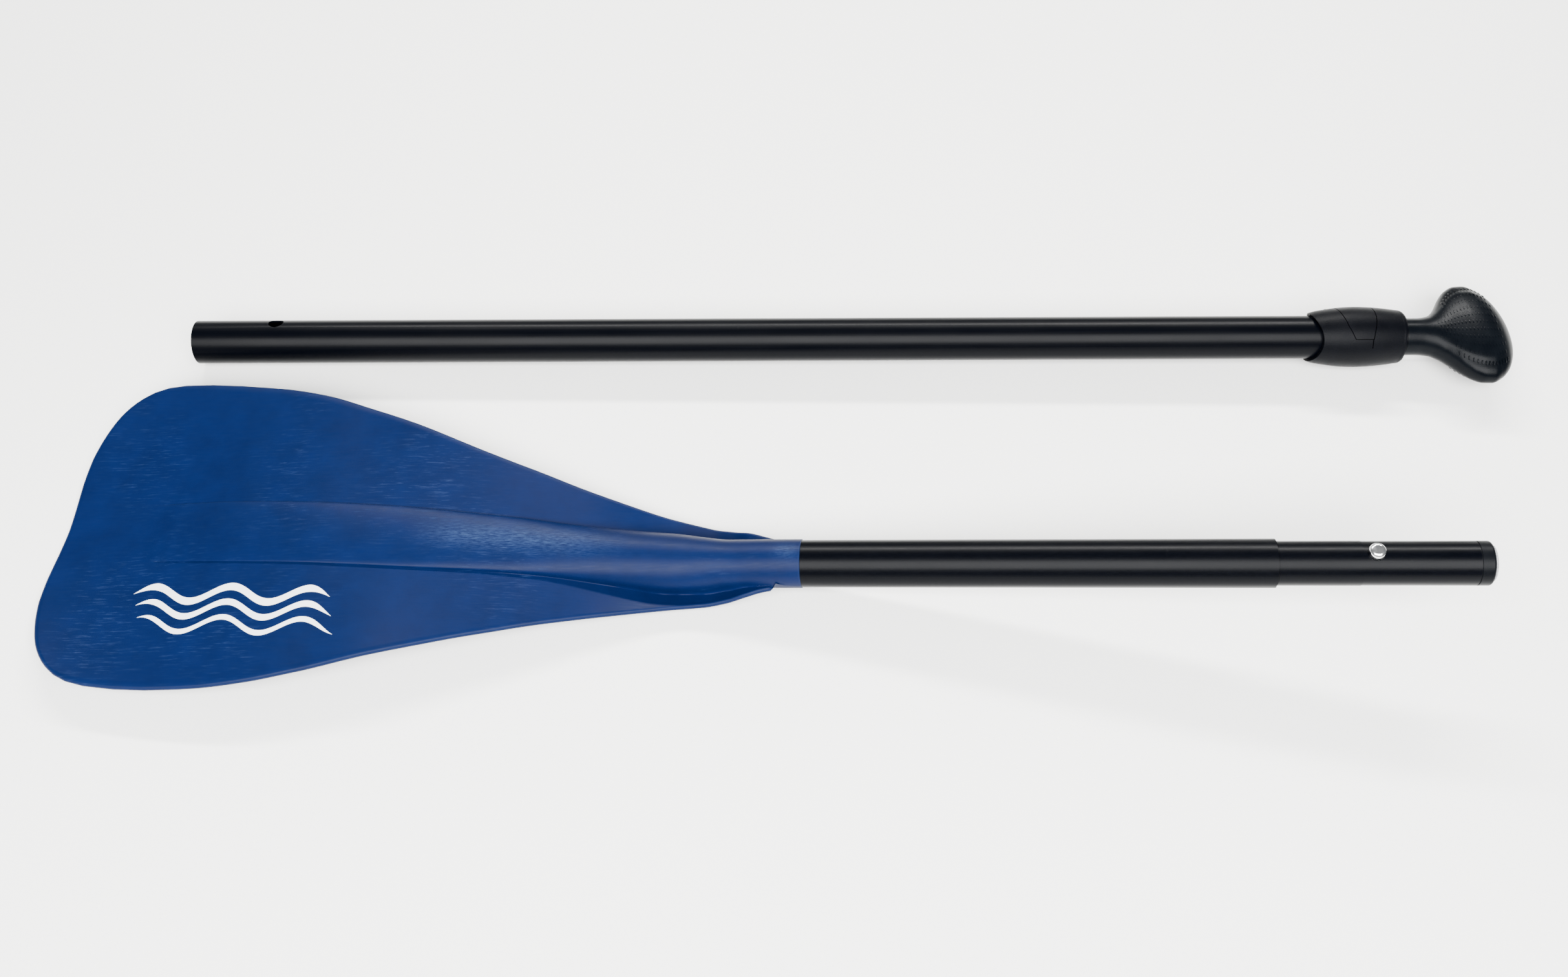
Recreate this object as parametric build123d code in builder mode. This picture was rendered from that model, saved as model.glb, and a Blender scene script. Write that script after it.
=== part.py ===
from build123d import *
import math
import os

os.makedirs("parts", exist_ok=True)

# ---------------------------------------------------------------- driving dimensions (mm)
# Two loose sections lie side by side on the floor, z = 0. The handle section runs along +X.
TUBE_R = 14.5                # outside radius of both 29 mm tubes
TUBE_BORE = 13.0             # inside radius of the main tube
SOCKET_BORE = 13.2           # reamed mouth of the main tube
LOWER_BORE = 13.3            # inside radius of the lower tube
SPIGOT_R = 13.1              # spigot tube outside radius, shoulder side
SPIGOT_LEAD_R = 12.9         # spigot tube outside radius from the button to the end
RELIEF = 0.8                 # width of the relief groove at the shoulder
SPIGOT_BORE = 12.1
SHAFT_R = 12.7               # adjustable inner shaft outside radius
SHAFT_BORE = 11.5

# blade section: shaft axis rises from the blade neck towards the spigot
NECK = Vector(-4.15, -66.02, 21.0)   # shaft axis where the blade neck meets the tube
RISE = 7.5                           # degrees above the floor
YAW = -4.0                           # degrees in plan
LOWER_LEN = 279.0                    # visible lower tube
SPIGOT_LEN = 110.8                   # spigot tube beyond the shoulder
SPIGOT_IN = 60.0                     # spigot tube inside the lower tube
CAP_LEN = 8.0
BUTTON_AT = 54.5                     # button centre from the shoulder
BUTTON_R = 4.9
BUTTON_HOLE_R = 5.0

# handle section: local x is measured along the main tube from its open end
HANDLE = Vector(-413.55, 108.48, 14.51)
HANDLE_TILT = 0.425                  # degrees, because the collar is fatter than the tube
SOCKET_LEN = 122.0
HOLE_AT = 55.0                       # button hole from the open end
HOLE_TURN = 26.0                     # degrees from straight up towards +Y
COLLAR_AT = 752.6
COLLAR_LEN = 63.0
TUBE_END = 806.0                     # main tube ends inside the collar
SHAFT_END = 816.4                    # inner shaft meets the grip shoulder
SHAFT_TAIL = 265.0
GRIP_SKEW, GRIP_SET = 3.8, 1.0       # degrees and mm by which the grip's head is askew

# clamp: lever wraps over the top of the collar from a pivot hidden at the back
LEVER_IN = 16.7
RECESS_R = 16.3
SEAM = 0.55
PIVOT_RAD, PIVOT_ANG = 21.2, 100.0   # pivot centre: radius, degrees from up towards +Y
PIN_R = 2.92
HUB_R = 4.8
BOLT_RAD = 17.3                      # bolt line's distance from the tube axis
BOLT_R = 1.75
SLIT = 2.4

# ---------------------------------------------------------------- frames
rise, yaw, tilt = math.radians(RISE), math.radians(YAW), math.radians(HANDLE_TILT)
EX = Vector(math.cos(yaw), math.sin(yaw), 0)
EY = Vector(-math.sin(yaw), math.cos(yaw), 0)
SHAFT_DIR = Vector(math.cos(rise) * EX.X, math.cos(rise) * EX.Y, math.sin(rise))
SHAFT_UP = SHAFT_DIR.cross(EY)
HANDLE_DIR = Vector(math.cos(tilt), 0, math.sin(tilt))
HANDLE_UP = Vector(-math.sin(tilt), 0, math.cos(tilt))
SIDE = Vector(0, 1, 0)


def station(x):
    """Upright plane across the blade; x runs from the neck, negative towards the tip."""
    return Plane(origin=Vector(NECK.X, NECK.Y, 0) + EX * x, x_dir=EY, z_dir=EX)


def across_shaft(s):
    """Plane square to the lower shaft; local y is up."""
    return Plane(origin=NECK + SHAFT_DIR * s, x_dir=EY, z_dir=SHAFT_DIR)


def out_of_shaft(s, turn, radius):
    """Plane facing outwards at a radius of the lower shaft; turn is degrees from up."""
    a = math.radians(turn)
    out = SHAFT_UP * math.cos(a) + EY * math.sin(a)
    return Plane(origin=NECK + SHAFT_DIR * s + out * radius, x_dir=SHAFT_DIR, z_dir=out)


def across_handle(x):
    """Plane square to the handle axis; local x is +Y, local y is up."""
    return Plane(origin=HANDLE + HANDLE_DIR * x, x_dir=SIDE, z_dir=HANDLE_DIR)


def out_of_handle(x, turn, radius):
    """Plane facing outwards at a radius of the handle; turn is degrees from up towards +Y."""
    a = math.radians(turn)
    out = HANDLE_UP * math.cos(a) + SIDE * math.sin(a)
    return Plane(origin=HANDLE + HANDLE_DIR * x + out * radius, x_dir=HANDLE_DIR, z_dir=out)


def polar(radius, turn):
    a = math.radians(turn)
    return (radius * math.sin(a), radius * math.cos(a))


# plane through the handle axis for turned profiles: local x along the axis, local y up
HANDLE_TURNED = Plane(origin=HANDLE, x_dir=HANDLE_DIR, z_dir=HANDLE_DIR.cross(HANDLE_UP))
# plan view of the handle: local x along the axis, local y is +Y
HANDLE_PLAN = Plane(origin=HANDLE - HANDLE_UP * 30, x_dir=HANDLE_DIR, z_dir=HANDLE_UP)
HANDLE_AXIS = Axis(HANDLE, HANDLE_DIR)

# ================================================================ blade section
# panel: distance from neck, back height at the centre line, dish curvature per mm, plan width
# covered by the surface before it is trimmed to the outline
PANEL = [(-6, 14.4, 0.0070, 26), (-24, 12.6, 0.0070, 30), (-34, 9.8, 0.0070, 33),
         (-45, 4.6, 0.0070, 36), (-59, 1.4, 0.0064, 40), (-85, 2.3, 0.0048, 46),
         (-116, 8.2, 0.00134, 52), (-147, 13.9, 0.0001, 60), (-177, 17.6, 0.0001, 70),
         (-207, 19.0, 0.0004, 80), (-250, 19.6, 0.00073, 94), (-293, 18.9, 0.00040, 106),
         (-350, 14.0, 0.00039, 116), (-411, 4.5, 0.00084, 119), (-440, 1.6, 0.0011, 119),
         (-470, 0.15, 0.0014, 119), (-486, 0.10, 0.0014, 119)]
PANEL_T = 3.6
OUTLINE = [(-468, 0), (-468.5, 14), (-469.2, 34), (-468.2, 50), (-465.6, 62), (-462, 72.5),
           (-457.5, 82), (-451.5, 90.5), (-445, 97), (-438, 102), (-429.5, 105.8), (-418, 108.2),
           (-400, 109.4), (-380, 109.3), (-350, 107), (-320, 102), (-293, 94.5), (-250, 80.6),
           (-207, 66.2), (-177, 57), (-147, 48), (-116, 39.8), (-85, 32.4), (-59, 27.6),
           (-43, 24.6), (-33, 22.2), (-24, 18.7), (-13, 15.6)]
# spine: distance, underside half-width, half-width, flank height, crest height, underside height
SPINE = [(-44, 6, 14.8, 15.0, 29.8, 0.4), (-59, 8, 17.0, 11.0, 28.6, 0.04),
         (-85, 12, 19.6, 9.6, 27.5, 1.4), (-116, 14, 18.9, 13.8, 27.0, 6.6),
         (-147, 14, 18.5, 18.8, 27.2, 12.6), (-177, 14, 19.1, 22.6, 27.7, 17.6),
         (-207, 14, 20.0, 23.7, 27.8, 19.6), (-250, 14, 21.1, 24.6, 27.2, 20.4),
         (-293, 14, 21.4, 23.7, 25.7, 19.8), (-350, 14, 21.5, 18.6, 19.9, 14.9),
         (-395, 14, 20.8, 11.6, 12.3, 8.2), (-418, 14, 20.2, 7.5, 7.7, 4.6)]


def smooth(table, column, x):
    """Value of one table column at x, on a smooth curve that never overshoots its points."""
    xs = [row[0] for row in table]
    ys = [row[column] for row in table]
    n = len(xs)
    slope = [(ys[i + 1] - ys[i]) / (xs[i + 1] - xs[i]) for i in range(n - 1)]
    tangent = [slope[0]] + [0.0] * (n - 2) + [slope[-1]]
    for i in range(1, n - 1):
        if slope[i - 1] * slope[i] > 0:
            tangent[i] = 2 * slope[i - 1] * slope[i] / (slope[i - 1] + slope[i])
    i = max(j for j in range(n - 1) if j == 0 or (x - xs[j]) * (xs[j] - xs[0]) >= 0
            and abs(x - xs[0]) >= abs(xs[j] - xs[0]))
    span = xs[i + 1] - xs[i]
    t = min(max((x - xs[i]) / span, 0.04), 1.0)
    return (ys[i] * (1 + 2 * t) * (1 - t) ** 2 + tangent[i] * span * t * (1 - t) ** 2
            + ys[i + 1] * t * t * (3 - 2 * t) - tangent[i + 1] * span * t * t * (1 - t))


# back surface of the panel as a grid of points, smooth in both directions
BACK = []
for row in range(61):
    x = -6 - row * 8.0
    reach = smooth(PANEL, 3, x)
    line = []
    for col in range(17):
        y = reach * (col / 8 - 1)
        z = smooth(PANEL, 1, x) + smooth(PANEL, 2, x) * y * y
        line.append(station(x).from_local_coords((y, z, 0)))
    BACK.append(line)
BACK_FACE = Face.make_surface_from_array_of_points(BACK, tol=0.02, min_deg=3, max_deg=5)

# blue blade: dished panel cut to outline, raised spine, round neck and the tongue in the tube
with BuildPart() as blade:
    thicken(BACK_FACE, amount=PANEL_T, normal_override=(0, 0, 1))
    with BuildSketch(Plane(origin=Vector(NECK.X, NECK.Y, 0), x_dir=EX, z_dir=(0, 0, 1))):
        with BuildLine():
            rim = Spline([(x, -y) for x, y in reversed(OUTLINE[1:])] + OUTLINE)
            Line(rim @ 1, rim @ 0)
        make_face()
    extrude(amount=80, mode=Mode.INTERSECT)
    for x, hb, hw, zf, zt, z0 in SPINE:
        with BuildSketch(station(x)):
            with BuildLine():
                arch = Spline([(-hw, zf), (-0.72 * hw, zf + 0.62 * (zt - zf)),
                               (-0.38 * hw, zf + 0.91 * (zt - zf)), (0, zt),
                               (0.38 * hw, zf + 0.91 * (zt - zf)),
                               (0.72 * hw, zf + 0.62 * (zt - zf)), (hw, zf)])
                Polyline([(hw, zf), (hb, z0), (-hb, z0), (-hw, zf)])
            make_face()
    loft(mode=Mode.ADD)
    with BuildSketch(across_shaft(0)):
        Circle(15.0)
    extrude(amount=-45)
    with BuildSketch(across_shaft(0)):
        Circle(LOWER_BORE)
    extrude(amount=70)
    with BuildSketch(across_shaft(70)):
        Circle(9.5)
    extrude(amount=-95, mode=Mode.SUBTRACT)
    with BuildSketch(out_of_shaft(40, 180, 5)):
        Circle(2.4)
    extrude(amount=12, mode=Mode.SUBTRACT)
blade.part.label = "blade"
export_step(blade.part, "parts/blade.step")

# lower tube, from the blade neck to the shoulder
with BuildPart() as lower_tube:
    with BuildSketch(across_shaft(0)):
        Circle(TUBE_R)
        Circle(LOWER_BORE, mode=Mode.SUBTRACT)
    extrude(amount=LOWER_LEN)
    with BuildSketch(out_of_shaft(40, 180, 8)):
        Circle(2.4)
    extrude(amount=9, mode=Mode.SUBTRACT)
    with BuildSketch(out_of_shaft(LOWER_LEN - 22, 180, 8)):
        Circle(2.4)
    extrude(amount=9, mode=Mode.SUBTRACT)
lower_tube.part.label = "lower_tube"
export_step(lower_tube.part, "parts/lower_tube.step")

# rivet through the lower tube into the blade tongue, on the underside
with BuildPart() as blade_rivet:
    with BuildSketch(out_of_shaft(40, 180, 9.6)):
        Circle(2.4)
    extrude(amount=TUBE_R - 9.6)
    with BuildSketch(out_of_shaft(40, 180, 12)):
        Circle(3.9)
    extrude(amount=3.3)
    with BuildSketch(across_shaft(0)):
        Circle(TUBE_R)
    extrude(amount=90, mode=Mode.SUBTRACT)
    with BuildSketch(out_of_shaft(40, 180, 9.6)):
        Circle(2.4)
    extrude(amount=TUBE_R - 9.3)
blade_rivet.part.label = "blade_rivet"
export_step(blade_rivet.part, "parts/blade_rivet.step")

# spigot tube: bonded inside the lower tube, plugs into the main tube
with BuildPart() as spigot_tube:
    with BuildSketch(across_shaft(LOWER_LEN - SPIGOT_IN)):
        Circle(LOWER_BORE)
    extrude(amount=SPIGOT_IN)
    with BuildSketch(across_shaft(LOWER_LEN)):
        Circle(SPIGOT_LEAD_R)
    extrude(amount=RELIEF)
    with BuildSketch(across_shaft(LOWER_LEN + RELIEF)):
        Circle(SPIGOT_R)
    extrude(amount=BUTTON_AT - 7 - RELIEF)
    with BuildSketch(across_shaft(LOWER_LEN + BUTTON_AT - 7)):
        Circle(SPIGOT_LEAD_R)
    extrude(amount=SPIGOT_LEN - BUTTON_AT + 7)
    with BuildSketch(across_shaft(LOWER_LEN - SPIGOT_IN)):
        Circle(SPIGOT_BORE)
    extrude(amount=SPIGOT_IN + SPIGOT_LEN, mode=Mode.SUBTRACT)
    with BuildSketch(out_of_shaft(LOWER_LEN + BUTTON_AT, 0, 5)):
        Circle(BUTTON_HOLE_R)
    extrude(amount=12, mode=Mode.SUBTRACT)
    with BuildSketch(out_of_shaft(LOWER_LEN - 22, 180, 8)):
        Circle(2.4)
    extrude(amount=9, mode=Mode.SUBTRACT)
spigot_tube.part.label = "spigot_tube"
export_step(spigot_tube.part, "parts/spigot_tube.step")

# rivet that fixes the spigot in the lower tube, on the underside
with BuildPart() as spigot_rivet:
    with BuildSketch(out_of_shaft(LOWER_LEN - 22, 180, 12)):
        Circle(3.9)
    extrude(amount=3.3)
    with BuildSketch(across_shaft(200)):
        Circle(TUBE_R)
    extrude(amount=75, mode=Mode.SUBTRACT)
    with BuildSketch(out_of_shaft(LOWER_LEN - 22, 180, 10.6)):
        Circle(2.4)
    extrude(amount=TUBE_R - 10.3)
spigot_rivet.part.label = "spigot_rivet"
export_step(spigot_rivet.part, "parts/spigot_rivet.step")

# plastic end ring of the spigot: rounded collar outside, short skirt inside the tube
END = LOWER_LEN + SPIGOT_LEN
with BuildPart() as spigot_end_cap:
    with BuildSketch(across_shaft(END)):
        Circle(SPIGOT_LEAD_R)
    extrude(amount=CAP_LEN)
    fillet(spigot_end_cap.faces().sort_by(Axis(NECK, SHAFT_DIR))[-1].edges(), 1.6)
    with BuildSketch(across_shaft(END)):
        Circle(SPIGOT_LEAD_R + 1)
        Circle(SPIGOT_LEAD_R - 0.4, mode=Mode.SUBTRACT)
    extrude(amount=0.6, mode=Mode.SUBTRACT)
    with BuildSketch(across_shaft(END - 14)):
        Circle(SPIGOT_BORE)
    extrude(amount=14)
    with BuildSketch(across_shaft(END - 14)):
        Circle(10.6)
    extrude(amount=14 + CAP_LEN, mode=Mode.SUBTRACT)
spigot_end_cap.part.label = "spigot_end_cap"
export_step(spigot_end_cap.part, "parts/spigot_end_cap.step")

# grey closed-cell foam plug that keeps the shaft afloat, standing just proud of the ring
with BuildPart() as foam_plug:
    with BuildSketch(across_shaft(END - 14)):
        Circle(10.6)
    extrude(amount=14 + CAP_LEN + 1.6)
    fillet(foam_plug.faces().sort_by(Axis(NECK, SHAFT_DIR))[-1].edges(), 0.8)
foam_plug.part.label = "foam_plug"
export_step(foam_plug.part, "parts/foam_plug.step")

# snap button: domed stud with a flange that stops it inside the tube wall
with BuildPart() as snap_button:
    with BuildSketch(out_of_shaft(LOWER_LEN + BUTTON_AT, 0, 9.0)):
        Circle(BUTTON_R)
    extrude(amount=8.1)
    fillet(snap_button.faces().sort_by(Axis(NECK, SHAFT_UP))[-1].edges(), 2.6)
    with BuildSketch(out_of_shaft(LOWER_LEN + BUTTON_AT, 0, 9.0)):
        Circle(6.2)
    extrude(amount=1.1)
snap_button.part.label = "snap_button"
export_step(snap_button.part, "parts/snap_button.step")

# V leaf spring under the button: upper leaf carries the button, lower leaf bears on the wall
SPRING_PLANE = Plane(origin=NECK + SHAFT_DIR * (LOWER_LEN + BUTTON_AT) - EY * 3.5,
                     x_dir=SHAFT_DIR, z_dir=EY * -1)
with BuildPart() as button_spring:
    with BuildSketch(Plane(origin=SPRING_PLANE.origin + EY * 7, x_dir=SHAFT_DIR, z_dir=EY * -1)):
        with BuildLine():
            Polyline([(-7, 8.9), (8, 8.9), (30, 1.0), (34.5, -1.6), (30, -4.2), (-14, -10.8),
                      (-14, -11.5), (30.3, -4.9), (35.6, -1.6), (30.3, 1.7), (8.2, 9.0 - 0.05),
                      (-7, 9.0 - 0.05)], close=True)
        make_face()
    extrude(amount=7)
button_spring.part.label = "button_spring"
export_step(button_spring.part, "parts/button_spring.step")

# ================================================================ handle section
# main tube: reamed socket and button hole at the open end, slit at the clamp end
BOLT_TURN = PIVOT_ANG + math.degrees(math.acos(BOLT_RAD / PIVOT_RAD))
PIVOT_BACK = math.sqrt(PIVOT_RAD ** 2 - BOLT_RAD ** 2)
with BuildPart() as main_tube:
    with BuildSketch(across_handle(0)):
        Circle(TUBE_R)
        Circle(TUBE_BORE, mode=Mode.SUBTRACT)
    extrude(amount=TUBE_END)
    with BuildSketch(across_handle(0)):
        Circle(SOCKET_BORE)
    extrude(amount=SOCKET_LEN, mode=Mode.SUBTRACT)
    with BuildSketch(out_of_handle(HOLE_AT, HOLE_TURN, 5)):
        Circle(BUTTON_HOLE_R)
    extrude(amount=15, mode=Mode.SUBTRACT)
    with BuildSketch(out_of_handle((772 + TUBE_END + 2) / 2, BOLT_TURN, 8)):
        Rectangle(TUBE_END + 2 - 772, SLIT)
    extrude(amount=10, mode=Mode.SUBTRACT)
    with BuildSketch(out_of_handle(COLLAR_AT + 9.5, 180, 8)):
        Circle(2.0)
    extrude(amount=9, mode=Mode.SUBTRACT)
main_tube.part.label = "main_tube"
export_step(main_tube.part, "parts/main_tube.step")

# barrel profile shared by the collar and the lever: distance along the collar, radius
BARREL = [(0, 15.9), (2.0, 16.7), (10, 18.4), (20, 19.75), (29, 20.3), (40, 20.05), (50, 19.2),
          (59, 18.0)]
# lever edges in plan: distance along the collar, +Y offset
EDGE_LEFT = [(17.5, 28), (17.6, 14), (19.3, 3.6), (20.5, -0.7), (21.8, -5.5), (23.4, -8.6),
             (25.2, -12.0), (26.4, -13.6)]
EDGE_RIGHT = [(37.6, -13.6), (38.0, -11.5), (38.9, -7.8), (39.9, -3.6), (40.7, 2.0), (40.9, 10),
              (41.0, 28)]
TIP_TURN = -41.5
BAND_END = 96.0
PIVOT_XY = polar(PIVOT_RAD, PIVOT_ANG)


def bolt_plane(along):
    """Plane square to the clamp bolt, measured from the slit towards the bolt head."""
    a = math.radians(BOLT_TURN)
    out = HANDLE_UP * math.cos(a) + SIDE * math.sin(a)
    run = SIDE * math.cos(a) - HANDLE_UP * math.sin(a)
    mid = HANDLE + HANDLE_DIR * (COLLAR_AT + 29.5) + out * BOLT_RAD
    return Plane(origin=mid + run * along, x_dir=HANDLE_DIR, z_dir=run)


# space the lever lies in: cut straight down through its plan outline, bounded by the tip
with BuildPart() as recess:
    with BuildSketch(HANDLE_PLAN):
        with BuildLine():
            Polyline([(COLLAR_AT + x - SEAM, y) for x, y in EDGE_LEFT]
                     + [(COLLAR_AT + 26.4 - SEAM, -18), (COLLAR_AT + 37.6 + SEAM, -18)]
                     + [(COLLAR_AT + x + SEAM, y) for x, y in EDGE_RIGHT], close=True)
        make_face()
    extrude(amount=70)
    with BuildSketch(across_handle(COLLAR_AT)):
        with BuildLine():
            Polyline([(0, 0), polar(40, TIP_TURN - 1.2), polar(40, 0), polar(60, 45),
                      polar(40, PIVOT_ANG + 3)], close=True)
        make_face()
        Circle(RECESS_R, mode=Mode.SUBTRACT)
    extrude(amount=COLLAR_LEN, mode=Mode.INTERSECT)

# split clamp collar: barrel body, scooped ends, lever recess, hub pocket, bolt passage
with BuildPart() as clamp_collar:
    with BuildSketch(HANDLE_TURNED):
        with BuildLine():
            crown = Spline([(COLLAR_AT + x, r) for x, r in BARREL])
            nose = Spline([(COLLAR_AT + 59, 18.0), (COLLAR_AT + 61.8, 17.2),
                           (COLLAR_AT + COLLAR_LEN, 15.6)])
            Polyline([nose @ 1, (COLLAR_AT + COLLAR_LEN, 13.0), (TUBE_END, 13.0), (TUBE_END, TUBE_R),
                      (COLLAR_AT, TUBE_R), crown @ 0])
        make_face()
    revolve(axis=HANDLE_AXIS)
    # scooped open end and shallower scoop at the grip end
    with BuildSketch(out_of_handle(COLLAR_AT - 20.0, -50, -40)):
        Circle(26.0)
    extrude(amount=80, mode=Mode.SUBTRACT)
    with BuildSketch(out_of_handle(COLLAR_AT + COLLAR_LEN - 2.2 + 68, -50, -40)):
        Circle(68.0)
    extrude(amount=80, mode=Mode.SUBTRACT)
    add(recess.part, mode=Mode.SUBTRACT)
    with BuildSketch(across_handle(COLLAR_AT + 17.5 - SEAM)):
        with Locations(PIVOT_XY):
            Circle(HUB_R + 0.3)
    extrude(amount=23.5 + 2 * SEAM, mode=Mode.SUBTRACT)
    # seat of the curved thrust washer, under the lever hub
    with BuildSketch(bolt_plane(-PIVOT_BACK)):
        Rectangle(20, 6.4)
    extrude(amount=5.9, mode=Mode.SUBTRACT)
    # slit through the clamp half
    with BuildSketch(out_of_handle(COLLAR_AT + 9 + 30, BOLT_TURN, 8)):
        Rectangle(60, SLIT)
    extrude(amount=20, mode=Mode.SUBTRACT)
    # bolt passage and head pocket
    with BuildSketch(bolt_plane(-9)):
        Circle(BOLT_R + 0.15)
    extrude(amount=16, mode=Mode.SUBTRACT)
    with BuildSketch(bolt_plane(4.4)):
        Circle(3.1)
    extrude(amount=12, mode=Mode.SUBTRACT)
    # narrow slit that runs on below the lever tip
    with BuildSketch(out_of_handle(COLLAR_AT + 37.6, -50.5, 18.9)):
        Rectangle(0.7, 6.5)
    extrude(amount=4, mode=Mode.SUBTRACT)
    with BuildSketch(out_of_handle(COLLAR_AT + 9.5, 180, 8)):
        Circle(2.0)
    extrude(amount=14, mode=Mode.SUBTRACT)
clamp_collar.part.label = "clamp_collar"
export_step(clamp_collar.part, "parts/clamp_collar.step")

# cam lever: band flush with the barrel, forked hub around the pivot pin
with BuildPart() as clamp_lever:
    with BuildSketch(HANDLE_TURNED):
        with BuildLine():
            crown = Spline([(COLLAR_AT + x, r) for x, r in BARREL])
            Polyline([crown @ 1, (COLLAR_AT + 59, 12), (COLLAR_AT, 12), crown @ 0])
        make_face()
    revolve(axis=HANDLE_AXIS)
    with BuildSketch(HANDLE_PLAN):
        with BuildLine():
            Polyline([(COLLAR_AT + x, y) for x, y in EDGE_LEFT]
                     + [(COLLAR_AT + 26.4, -18), (COLLAR_AT + 37.6, -18)]
                     + [(COLLAR_AT + x, y) for x, y in EDGE_RIGHT], close=True)
        make_face()
    extrude(amount=70, mode=Mode.INTERSECT)
    with BuildSketch(across_handle(COLLAR_AT)):
        with BuildLine():
            Polyline([(0, 0), polar(40, TIP_TURN), polar(40, 0), polar(60, 45),
                      polar(40, BAND_END)], close=True)
        make_face()
    extrude(amount=COLLAR_LEN, mode=Mode.INTERSECT)
    with BuildSketch(across_handle(COLLAR_AT + 17.5)):
        with Locations(PIVOT_XY):
            Circle(HUB_R)
    extrude(amount=23.5)
    with BuildSketch(across_handle(COLLAR_AT + 10)):
        Circle(LEVER_IN)
        with Locations(PIVOT_XY):
            Circle(PIN_R + 0.06)
    extrude(amount=40, mode=Mode.SUBTRACT)
    with BuildSketch(across_handle(COLLAR_AT + 29.5 - 3.2)):
        with Locations(PIVOT_XY):
            Circle(HUB_R + 1.2)
    extrude(amount=6.4, mode=Mode.SUBTRACT)
clamp_lever.part.label = "clamp_lever"
export_step(clamp_lever.part, "parts/clamp_lever.step")

# cross pin in the lever hub, tapped for the bolt
with BuildPart() as pivot_pin:
    with BuildSketch(across_handle(COLLAR_AT + 17.7)):
        with Locations(PIVOT_XY):
            Circle(PIN_R)
    extrude(amount=23.1)
    with BuildSketch(bolt_plane(-PIVOT_BACK - 4)):
        Circle(BOLT_R)
    extrude(amount=8, mode=Mode.SUBTRACT)
pivot_pin.part.label = "pivot_pin"
export_step(pivot_pin.part, "parts/pivot_pin.step")

# socket-head clamp bolt across the slit
with BuildPart() as clamp_bolt:
    with BuildSketch(bolt_plane(-PIVOT_BACK - 2.4)):
        Circle(BOLT_R)
    extrude(amount=PIVOT_BACK + 2.4 + 4.5)
    with BuildSketch(bolt_plane(4.4)):
        Circle(2.9)
    extrude(amount=2.8)
    with BuildSketch(bolt_plane(7.2)):
        RegularPolygon(1.45, 6)
    extrude(amount=-1.8, mode=Mode.SUBTRACT)
clamp_bolt.part.label = "clamp_bolt"
export_step(clamp_bolt.part, "parts/clamp_bolt.step")

# thrust washer between the hub and the collar ear, hollowed to the hub
with BuildPart() as thrust_washer:
    with BuildSketch(bolt_plane(-PIVOT_BACK)):
        Rectangle(19.6, 6.0)
    extrude(amount=5.9)
    with BuildSketch(across_handle(COLLAR_AT + 15)):
        with Locations(PIVOT_XY):
            Circle(HUB_R + 0.25)
    extrude(amount=30, mode=Mode.SUBTRACT)
    with BuildSketch(bolt_plane(-PIVOT_BACK)):
        Circle(BOLT_R + 0.15)
    extrude(amount=8, mode=Mode.SUBTRACT)
thrust_washer.part.label = "thrust_washer"
export_step(thrust_washer.part, "parts/thrust_washer.step")

# pin that keys the collar to the main tube, on the underside
with BuildPart() as collar_pin:
    with BuildSketch(out_of_handle(COLLAR_AT + 9.5, 180, TUBE_BORE + 0.15)):
        Circle(2.0)
    extrude(amount=4.6)
collar_pin.part.label = "collar_pin"
export_step(collar_pin.part, "parts/collar_pin.step")

# plastic guide liner in the mouth of the main tube
with BuildPart() as guide_liner:
    with BuildSketch(across_handle(774)):
        Circle(TUBE_BORE)
        Circle(SHAFT_R + 0.06, mode=Mode.SUBTRACT)
    extrude(amount=TUBE_END - 774)
guide_liner.part.label = "guide_liner"
export_step(guide_liner.part, "parts/guide_liner.step")

# adjustable inner shaft
with BuildPart() as inner_shaft:
    with BuildSketch(across_handle(SHAFT_TAIL)):
        Circle(SHAFT_R)
        Circle(SHAFT_BORE, mode=Mode.SUBTRACT)
    extrude(amount=SHAFT_END - SHAFT_TAIL)
    with BuildSketch(out_of_handle(804, 180, 8)):
        Circle(1.9)
    extrude(amount=9, mode=Mode.SUBTRACT)
inner_shaft.part.label = "inner_shaft"
export_step(inner_shaft.part, "parts/inner_shaft.step")

# glide plug on the tail of the inner shaft
with BuildPart() as tail_glide:
    with BuildSketch(across_handle(SHAFT_TAIL - 12)):
        Circle(TUBE_BORE - 0.06)
    extrude(amount=12)
    with BuildSketch(across_handle(SHAFT_TAIL)):
        Circle(SHAFT_BORE)
    extrude(amount=18)
    with BuildSketch(across_handle(SHAFT_TAIL - 12)):
        Circle(7.5)
    extrude(amount=30, mode=Mode.SUBTRACT)
tail_glide.part.label = "tail_glide"
export_step(tail_glide.part, "parts/tail_glide.step")

def across_grip(x):
    """Plane across the palm grip, whose head is set a few degrees askew in plan."""
    t = min(max((x - 834) / 22, 0), 1)
    f = t * t * (3 - 2 * t)
    a = math.radians(GRIP_SKEW * f)
    return Plane(origin=HANDLE + HANDLE_DIR * (x - GRIP_SET * f),
                 x_dir=SIDE * math.cos(a) - HANDLE_DIR * math.sin(a),
                 z_dir=HANDLE_DIR * math.cos(a) + SIDE * math.sin(a))


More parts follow.
